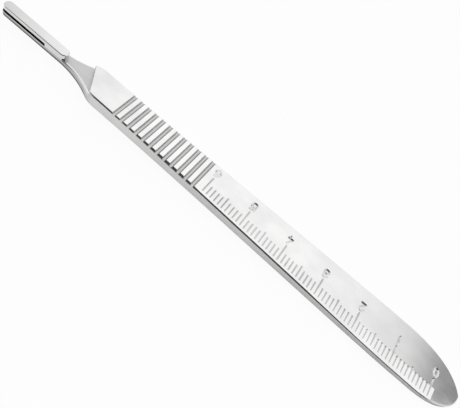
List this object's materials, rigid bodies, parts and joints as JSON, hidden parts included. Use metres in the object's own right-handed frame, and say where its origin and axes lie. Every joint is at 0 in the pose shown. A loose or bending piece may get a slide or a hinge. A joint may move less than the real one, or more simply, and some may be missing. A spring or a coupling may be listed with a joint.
{
  "type": "scalpel handle",
  "caption": "Flat steel surgical handle with a narrow undercut blade tang, a cross-grooved grip and an engraved centimetre scale, widening to a rounded tail.",
  "frame": {"origin": "on the plane of the flat back, under the middle of the overall length and width", "axes": "+X along the handle from the blade tang to the rounded tail, +Y across the width away from the scaled edge, +Z out of the scaled face"},
  "size_m": [0.1218, 0.0112, 0.0036],
  "materials": {
    "satin_steel": "satin, finely brushed along the length"
  },
  "bodies": {
    "root": {"scalpel_handle": "satin_steel"}
  },
  "joints": []
}
